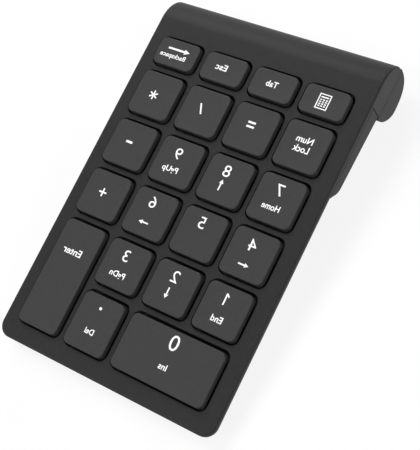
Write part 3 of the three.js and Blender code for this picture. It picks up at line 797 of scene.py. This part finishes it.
# Each mark: its kind and shape, its place from the key's centre along u and v, and for words and
# numerals their width and the height of a capital, all in millimetres
LEGENDS = {
    "key_backspace": [
        ("shape", [turned(arrow(8.6, 2.1, 1.9, 0.7), 180)], 0.2, 1.5),
        ("word", "Backspace", -1.1, -0.95, 10.1, 1.6),
    ],
    "key_escape": [("word", "Esc", -1.05, 0.55, 4.4, 2.1)],
    "key_tab": [("word", "Tab", -0.4, 0.35, 4.35, 2.0)],
    "key_calculator": [("shape", calculator_icon(), -0.45, 0.0)],
    "key_multiply": [("shape", asterisk(), -0.8, -0.1)],
    "key_divide": [("shape", [slash()], -0.95, 0.8)],
    "key_equals": [("shape", [bar(-1.4, 1.4, 0.4, 1.1), bar(-1.4, 1.4, -1.1, -0.4)], -0.65, 1.25)],
    "key_num_lock": [
        ("word", "Num", -0.25, 2.35, 5.9, 2.1),
        ("word", "Lock", -0.25, -0.8, 5.65, 2.2),
    ],
    "key_minus": [("shape", [bar(-1.25, 1.25, -0.4, 0.4)], -0.7, 0.8)],
    "key_9": [("digit", "9", -0.65, 2.9), ("word", "PgUp", -1.0, -2.65, 5.95, 1.9)],
    "key_8": [("digit", "8", -0.8, 3.2), ("shape", [UP_ARROW], -0.85, -1.75)],
    "key_7": [("digit", "7", -0.45, 3.4), ("word", "Home", -0.7, -2.5, 6.3, 2.0)],
    "key_plus": [
        ("shape", [bar(-1.45, 1.45, -0.28, 0.28), bar(-0.28, 0.28, -1.45, 1.45)], -0.85, 0.7),
    ],
    "key_6": [("digit", "6", -0.9, 3.95), ("shape", [SMALL_ARROW], -0.8, -3.3)],
    "key_5": [("digit", "5", -0.55, 3.75)],
    "key_4": [("digit", "4", -0.4, 3.2), ("shape", [turned(SMALL_ARROW, 180)], -0.45, -3.55)],
    "key_3": [("digit", "3", -0.65, 3.45), ("word", "PgDn", -0.65, -3.0, 5.8, 1.9)],
    "key_2": [("digit", "2", -0.45, 3.7), ("shape", [DOWN_ARROW], -0.65, -1.95)],
    "key_1": [("shape", [figure_one()], -0.5, 3.6), ("word", "End", -0.4, -3.0, 4.0, 2.0)],
    "key_enter": [("word", "Enter", -0.7, 8.65, 7.4, 2.3)],
    "key_decimal": [
        ("shape", [circle(0, 0, 0.52, 14)], -0.25, 5.2),
        ("word", "Del", -0.25, -2.75, 3.4, 1.8),
    ],
    "key_0": [("numeral", "0", 0.0, 5.35, 3.3, 4.9), ("word", "Ins", -0.1, -2.55, 3.0, 1.9)],
}


def make_legend(key):
    """All marks of one key, as thin solid ink on its top."""
    whole = bmesh.new()
    scratch = bpy.data.meshes.new("scratch")
    for kind, mark, du, dv, *size in LEGENDS[key]:
        if kind == "shape":
            bm = place_shape(key, mark, du, dv)
        elif kind == "digit":
            bm = place_word(key, mark, du, dv, digit_width(mark), DIGIT_HEIGHT)
        else:
            weight = WORD_WEIGHT if kind == "word" else 0
            bm = place_word(key, mark, du, dv, *size, weight)
        bm.to_mesh(scratch)
        bm.free()
        whole.from_mesh(scratch)
    bpy.data.meshes.remove(scratch)
    settle(link_mesh(whole, key + "_legend"), key, MATERIALS["ink"])


for key in KEYS:
    make_legend(key)


# ------------------------------------------------------------------ mechanism and small parts

SHEET_LOW, SHEET_HIGH = deck_box("rubber_dome_sheet")
SHEET_TOP = -3.95
SHEET_CORNER_RADIUS = 1.5
SHEET_EDGE = 0.08
SHEET_GAP = 0.01
DOME_SIDES = 20
SHORT_KEY_DOME = 0.66
DOME_SLACK = 0.1
DOME_MARGIN = 0.03

# The dome's section as (radius, height), from its outer foot over the top to its inner foot
DOME_PROFILE = [
    (3.45, SHEET_TOP), (3.2, -3.75), (2.5, -2.6), (2.0, -2.15), (1.55, SHEET_HIGH.z),
    (0.0, SHEET_HIGH.z), (0.0, -2.5), (1.4, -2.6), (1.9, -2.9), (2.9, SHEET_TOP),
]


def make_dome(key):
    """A hollow rubber dome under its key, fixed to the base."""
    u, v, _, b = FOOTPRINTS[key]
    size = SHORT_KEY_DOME if b < SHORT_KEY_HALF_DEPTH else 1.0
    bm = bmesh.new()
    rings = []
    for radius, w in DOME_PROFILE:
        if radius == 0:
            rings.append([bm.verts.new((u, v, w))])
        else:
            outline = circle(u, v, radius * size, DOME_SIDES)
            rings.append([bm.verts.new((x, y, w)) for x, y in outline])
    for low, high in zip(rings, rings[1:] + rings[:1]):
        if len(low) == 1 and len(high) == 1:
            continue
        for i in range(DOME_SIDES):
            j = (i + 1) % DOME_SIDES
            if len(high) == 1:
                bm.faces.new((low[i], low[j], high[0]))
            elif len(low) == 1:
                bm.faces.new((low[0], high[j], high[i]))
            else:
                bm.faces.new((low[i], low[j], high[j], high[i]))
    bmesh.ops.recalc_face_normals(bm, faces=bm.faces)
    dome = settle(link_mesh(bm, key + "_dome"), "base", MATERIALS["silicone"])
    rest = SHEET_HIGH.z - SHEET_TOP
    keep = (rest - TRAVEL + DOME_SLACK) / rest - DOME_MARGIN
    keep = max(keep, DOME_MARGIN)
    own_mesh(dome)


for key in KEYS:
    make_dome(key)


def make_dome_sheet():
    outline = rounded_outline(
        SHEET_LOW.x, SHEET_HIGH.x, SHEET_LOW.y, SHEET_HIGH.y, SHEET_CORNER_RADIUS
    )
    sheet = plan_prism(outline, SHEET_LOW.z, SHEET_TOP - SHEET_GAP, "dome_sheet")
    bevel(sheet, SHEET_EDGE, 2)
    settle(sheet, "base", MATERIALS["silicone"], ["rubber_dome_sheet"])


make_dome_sheet()

# Node, body, slot and edge radius
SMALL_PARTS = [
    ("foot_front_left", "base", "foot", 0.3),
    ("foot_front_right", "base", "foot", 0.3),
    ("foot_rear_left", "door", "foot", 0.3),
    ("foot_rear_right", "base", "foot", 0.3),
    ("power_switch_knob", "knob", "knob", 0.12),
    ("power_switch_body", "base", "spring_steel", 0.2),
    ("controller_chip", "base", "chip", 0.1),
    ("crystal_can", "base", "spring_steel", 0.2),
]
for node, body, slot, width in SMALL_PARTS:
    settle(refined(node, node + "_fine", width), body, MATERIALS[slot], [node])


# ------------------------------------------------------------------ screws, wires and the cell

SCREW_HEAD = 1.9
SCREW_SHANK = 0.75
HEAD_SIDES = 28
HEAD_EDGE = 0.14
SHANK_SIDES = 18
HEAD_THICKNESS = 0.5
RECESS_LENGTH = 2.3
RECESS_WIDTH = 0.5
RECESS_DEPTH = 0.3


def make_screw(node):
    """A case screw, head down, with a cross recess."""
    low, high = deck_box(node)
    u, v = (low.x + high.x) / 2, (low.y + high.y) / 2
    screw = plan_prism(circle(u, v, SCREW_HEAD, HEAD_SIDES), low.z, low.z + HEAD_THICKNESS)
    bevel(screw, HEAD_EDGE, 2)
    shank_outline = circle(u, v, SCREW_SHANK, SHANK_SIDES)
    shank = plan_prism(shank_outline, low.z + HEAD_THICKNESS / 2, high.z)
    combine(screw, shank, "UNION")
    a, b = RECESS_LENGTH / 2, RECESS_WIDTH / 2
    bottom, floor = low.z - CUT_MARGIN, low.z + RECESS_DEPTH
    for half_u, half_v in ((a, b), (b, a)):
        cut = block(u - half_u, u + half_u, v - half_v, v + half_v, bottom, floor)
        combine(screw, cut, "DIFFERENCE")
    settle(screw, "base", MATERIALS["screw"], [node])


def swept(path, radius, sides):
    """A closed round wire along a path of points."""
    rings = []
    across = None
    for i, point in enumerate(path):
        before = path[max(i - 1, 0)]
        after = path[min(i + 1, len(path) - 1)]
        along = (after - before).normalized()
        if across is None:
            across = along.orthogonal().normalized()
        across = (across - along * across.dot(along)).normalized()
        other = along.cross(across)
        ring = []
        for k in range(sides):
            angle = 2 * math.pi * k / sides
            side = across * radius * math.cos(angle)
            ring.append(point + side + other * radius * math.sin(angle))
        rings.append(ring)
    bm = bmesh.new()
    add_loft(bm, rings)
    return bm


def rounded_path(corners, radius, steps=5):
    """The corners joined by straight runs, with each inner corner turned on a small curve."""
    path = [corners[0]]
    for a, b, c in zip(corners, corners[1:], corners[2:]):
        start = b + (a - b).normalized() * radius
        end = b + (c - b).normalized() * radius
        for i in range(steps + 1):
            t = i / steps
            path.append(start * (1 - t) ** 2 + b * 2 * t * (1 - t) + end * t ** 2)
    return path + [corners[-1]]


BAR_RADIUS = 0.4
BAR_HOOK = 1.6
BAR_BEND = 0.8
BAR_SIDES = 12


def make_stabilizer_bar(node, body, along_u):
    """A bent wire: a long axle, two arms and two hooks that hold the key's ends."""
    low, high = deck_box(node)
    axis_w, tip_w = low.z + BAR_RADIUS, high.z - BAR_RADIUS
    if along_u:
        start, end = low.x + BAR_RADIUS, high.x - BAR_RADIUS
        tip, axis = low.y + BAR_RADIUS, high.y - BAR_RADIUS
    else:
        start, end = low.y + BAR_RADIUS, high.y - BAR_RADIUS
        tip, axis = low.x + BAR_RADIUS, high.x - BAR_RADIUS
    places = [
        (start + BAR_HOOK, tip, tip_w), (start, tip, tip_w), (start, axis, axis_w),
        (end, axis, axis_w), (end, tip, tip_w), (end - BAR_HOOK, tip, tip_w),
    ]
    corners = [Vector((a, b, w) if along_u else (b, a, w)) for a, b, w in places]
    wire = link_mesh(swept(rounded_path(corners, BAR_BEND), BAR_RADIUS, BAR_SIDES), node + "_wire")
    settle(wire, body, MATERIALS["spring_steel"], [node])


COIL_TURNS = 2.5
COIL_WIRE = 0.35
COIL_WIDE = 4.0
COIL_NARROW = 2.4
COIL_STEPS = 90
COIL_SIDES = 10
PLATE_THICKNESS = 0.4
PLATE_EDGE = 0.12


def make_spring_contact():
    """The negative contact: a flat plate with a conical coil."""
    low, high = deck_box("battery_spring_contact")
    v = (low.y + high.y) / 2
    plate = block(low.x, low.x + PLATE_THICKNESS, low.y, high.y, low.z, high.z)
    bevel(plate, PLATE_EDGE, 2)
    start, end = low.x + PLATE_THICKNESS, high.x - COIL_WIRE
    path = []
    for i in range(COIL_STEPS + 1):
        t = i / COIL_STEPS
        radius = COIL_WIDE + (COIL_NARROW - COIL_WIDE) * t
        angle = 2 * math.pi * COIL_TURNS * t
        across, up = radius * math.cos(angle), radius * math.sin(angle)
        path.append(Vector((start + (end - start) * t, v + across, TUBE_W + up)))
    combine(plate, link_mesh(swept(path, COIL_WIRE, COIL_SIDES), "coil"), "UNION")
    settle(plate, "base", MATERIALS["spring_steel"], ["battery_spring_contact"])


CELL_SIDES = 40


def make_cell():
    """An AA cell along u: a domed negative end, a wrapped can and a raised positive cap."""
    low, high = deck_box("aa_battery")
    v, w = (low.y + high.y) / 2, (low.z + high.z) / 2
    radius = (high.y - low.y) / 2
    length = high.x - low.x
    # Radius and distance along the cell
    profile = [
        (4.1, 0.4), (4.6, 0.05), (5.0, 0), (6.5, 0), (6.9, 0.12), (radius, 0.5), (radius, 0.9),
        (radius, length - 2.3), (radius, length - 1.9), (6.9, length - 1.45), (6.5, length - 1.3),
        (2.95, length - 1.3), (2.75, length - 1.2), (2.75, length - 0.35), (2.6, length - 0.08),
        (2.3, length),
    ]
    rings = []
    for size, along in profile:
        rings.append([(low.x + along, a, b) for a, b in circle(v, w, size, CELL_SIDES)])
    bm = bmesh.new()
    add_loft(bm, rings)
    settle(link_mesh(bm, "cell_can"), "base", MATERIALS["cell"], ["aa_battery"])


for subpart in frame["record"]["subparts"]:
    if subpart["node"].startswith("case_screw"):
        make_screw(subpart["node"])
make_stabilizer_bar("stabilizer_bar_enter", "bar_enter", False)
make_stabilizer_bar("stabilizer_bar_0", "bar_0", True)
make_spring_contact()
make_cell()


# ------------------------------------------------------------------ stage, light and camera

# Radius and height of the floor's rings, in metres
FLOOR_PROFILE = [(3.0, 0.0), (3.4, 0.07), (3.8, 0.3), (4.05, 0.65), (4.15, 1.0)]
FLOOR_SIDES = 64
FLOOR_GLOW = 0.87

# Lamps: name, direction in the deck frame, size in metres, power in watts, seen in the sheen
LAMPS = [
    ("side light", (-0.5, 0.3, 0.8), 0.9, 30, False),
    ("rear light", (-0.45, 0.67, 0.59), 1.6, 31, True),
    ("front light", (-0.42, -0.45, 0.79), 1.6, 25, True),
    ("right light", (0.86, 0.12, 0.48), 1.0, 20, True),
]
LIGHT_DISTANCE = 2.5
WORLD_STRENGTH = 0.1

CAMERA_AZIMUTH = math.radians(60.67)
CAMERA_ELEVATION = math.radians(58.96)
CAMERA_ROLL = math.radians(-34.6)
CAMERA_DISTANCE = 0.3322
CAMERA_LENS = 84.8
CAMERA_NEAR = 0.01
CAMERA_AIM = DECK @ Vector((11.6, -5.85, 2.0))


def make_floor():
    """A flat round sheet of paper whose far rim curls up, so that low views end on paper too."""
    bm = bmesh.new()
    middle = bm.verts.new((0, 0, 0))
    inner = None
    for radius, height in FLOOR_PROFILE:
        ring = []
        for k in range(FLOOR_SIDES):
            angle = 2 * math.pi * k / FLOOR_SIDES
            ring.append(bm.verts.new((radius * math.cos(angle), radius * math.sin(angle), height)))
        for k in range(FLOOR_SIDES):
            after = (k + 1) % FLOOR_SIDES
            if inner is None:
                bm.faces.new((middle, ring[k], ring[after]))
            else:
                bm.faces.new((inner[k], ring[k], ring[after], inner[after]))
        inner = ring
    floor = link_mesh(bm, "floor")
    n = Nodes("floor paper")
    fac = n.noise(40, 2.0)
    n.set(Base_Color=n.blend(fac, (0.1,) * 3, (0.12,) * 3), Roughness=0.9)
    n.set(Emission_Color=(1, 1, 1, 1), Emission_Strength=FLOOR_GLOW)
    n.shader.inputs["Specular IOR Level"].default_value = 0.0
    floor.data.materials.append(n.material)


def add_area_light(name, direction, size, power, seen_in_sheen):
    """A round soft light, in a direction given in the deck frame, that faces the keypad."""
    light = bpy.data.lights.new(name, "AREA")
    light.shape = "DISK"
    light.size = size
    light.energy = power
    lamp = bpy.data.objects.new(name, light)
    bpy.context.scene.collection.objects.link(lamp)
    towards = (DECK.to_3x3() @ Vector(direction)).normalized()
    lamp.location = DECK.to_translation() + towards * LIGHT_DISTANCE
    lamp.rotation_euler = towards.to_track_quat("Z", "Y").to_euler()
    lamp.visible_glossy = seen_in_sheen


def make_camera():
    """The photo's view, aimed at a point of the deck frame and rolled about its own axis."""
    back = Vector((
        math.sin(CAMERA_AZIMUTH) * math.cos(CAMERA_ELEVATION),
        -math.cos(CAMERA_AZIMUTH) * math.cos(CAMERA_ELEVATION),
        math.sin(CAMERA_ELEVATION),
    ))
    level_right = Vector((0, 0, 1)).cross(back).normalized()
    level_up = back.cross(level_right)
    right = level_right * math.cos(CAMERA_ROLL) + level_up * math.sin(CAMERA_ROLL)
    up = back.cross(right)
    camera = bpy.data.cameras.new("camera")
    camera.lens = CAMERA_LENS
    camera.clip_start = CAMERA_NEAR
    holder = bpy.data.objects.new("camera", camera)
    bpy.context.scene.collection.objects.link(holder)
    axes = Matrix((right, up, back)).transposed().to_4x4()
    holder.matrix_world = Matrix.Translation(CAMERA_AIM + back * CAMERA_DISTANCE) @ axes
    bpy.context.scene.camera = holder


def make_world():
    world = bpy.data.worlds.new("studio")
    world.use_nodes = True
    background = world.node_tree.nodes["Background"]
    background.inputs["Color"].default_value = (1, 1, 1, 1)
    background.inputs["Strength"].default_value = WORLD_STRENGTH
    bpy.context.scene.world = world


make_floor()
make_camera()
for lamp in LAMPS:
    add_area_light(*lamp)
make_world()
bpy.context.scene.view_settings.view_transform = "Standard"
